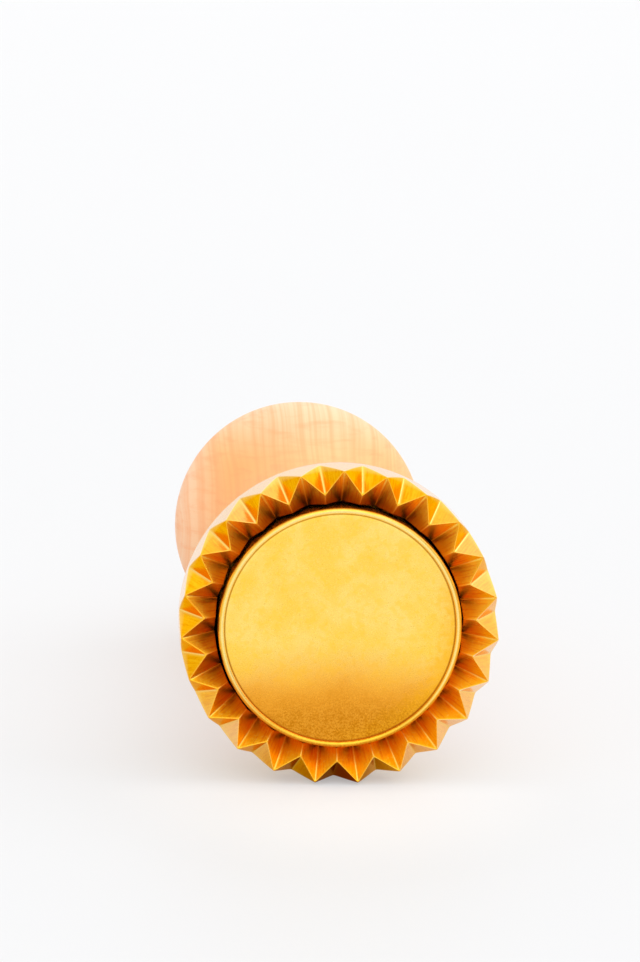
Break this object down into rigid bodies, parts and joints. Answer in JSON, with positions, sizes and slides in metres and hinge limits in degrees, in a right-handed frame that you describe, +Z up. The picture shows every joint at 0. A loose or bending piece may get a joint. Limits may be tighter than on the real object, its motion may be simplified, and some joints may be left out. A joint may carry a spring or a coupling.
{
  "type": "fluted food stamp with spring ejector",
  "caption": "Round hand stamp with a zigzag brass cutting edge, a flat brass ejector plate on a spring and a turned beech handle with a round knob, lying on its side.",
  "frame": {"origin": "point on the surface that the stamp lies on, under the middle of its bounding box", "axes": "+Z up; +Y along the stamp from the cutting edge to the knob, level (the stamp's own axis lies in the YZ plane and slopes 2.39 degrees down towards the knob); +X to the right when looking at the cutting edge along +Y"},
  "size_m": [0.052, 0.1056, 0.0521],
  "materials": {
    "brass_die": "milled and lightly polished, bare",
    "brass_plate": "turned and lapped satin, with a faint mottled patina",
    "beech": "turned, fine sanded, unvarnished",
    "steel": "zinc plated",
    "spring_steel": "drawn wire, bare",
    "acetal": "moulded, matte",
    "rubber": "matte"
  },
  "bodies": {
    "stamp": {"fluted_die": "brass_die", "handle": "beech", "guide_bush": "acetal", "die_screw_1": "steel", "die_screw_2": "steel", "die_screw_3": "steel", "spring_seat": "steel", "return_spring": "spring_steel"},
    "ejector": {"ejector_plate": "brass_plate", "plunger_stem": "steel", "bump_washer": "rubber", "retaining_washer": "steel", "lock_nut": "steel"}
  },
  "joints": [
    {"name": "ejector_slide", "type": "slide", "parent": "stamp", "child": "ejector", "axis": [0, 0.9991, -0.0418], "range_m": [0, 0.007], "stiffness_N_per_m": 1060, "springref_m": -0.0057, "deforming": ["return_spring"]}
  ]
}
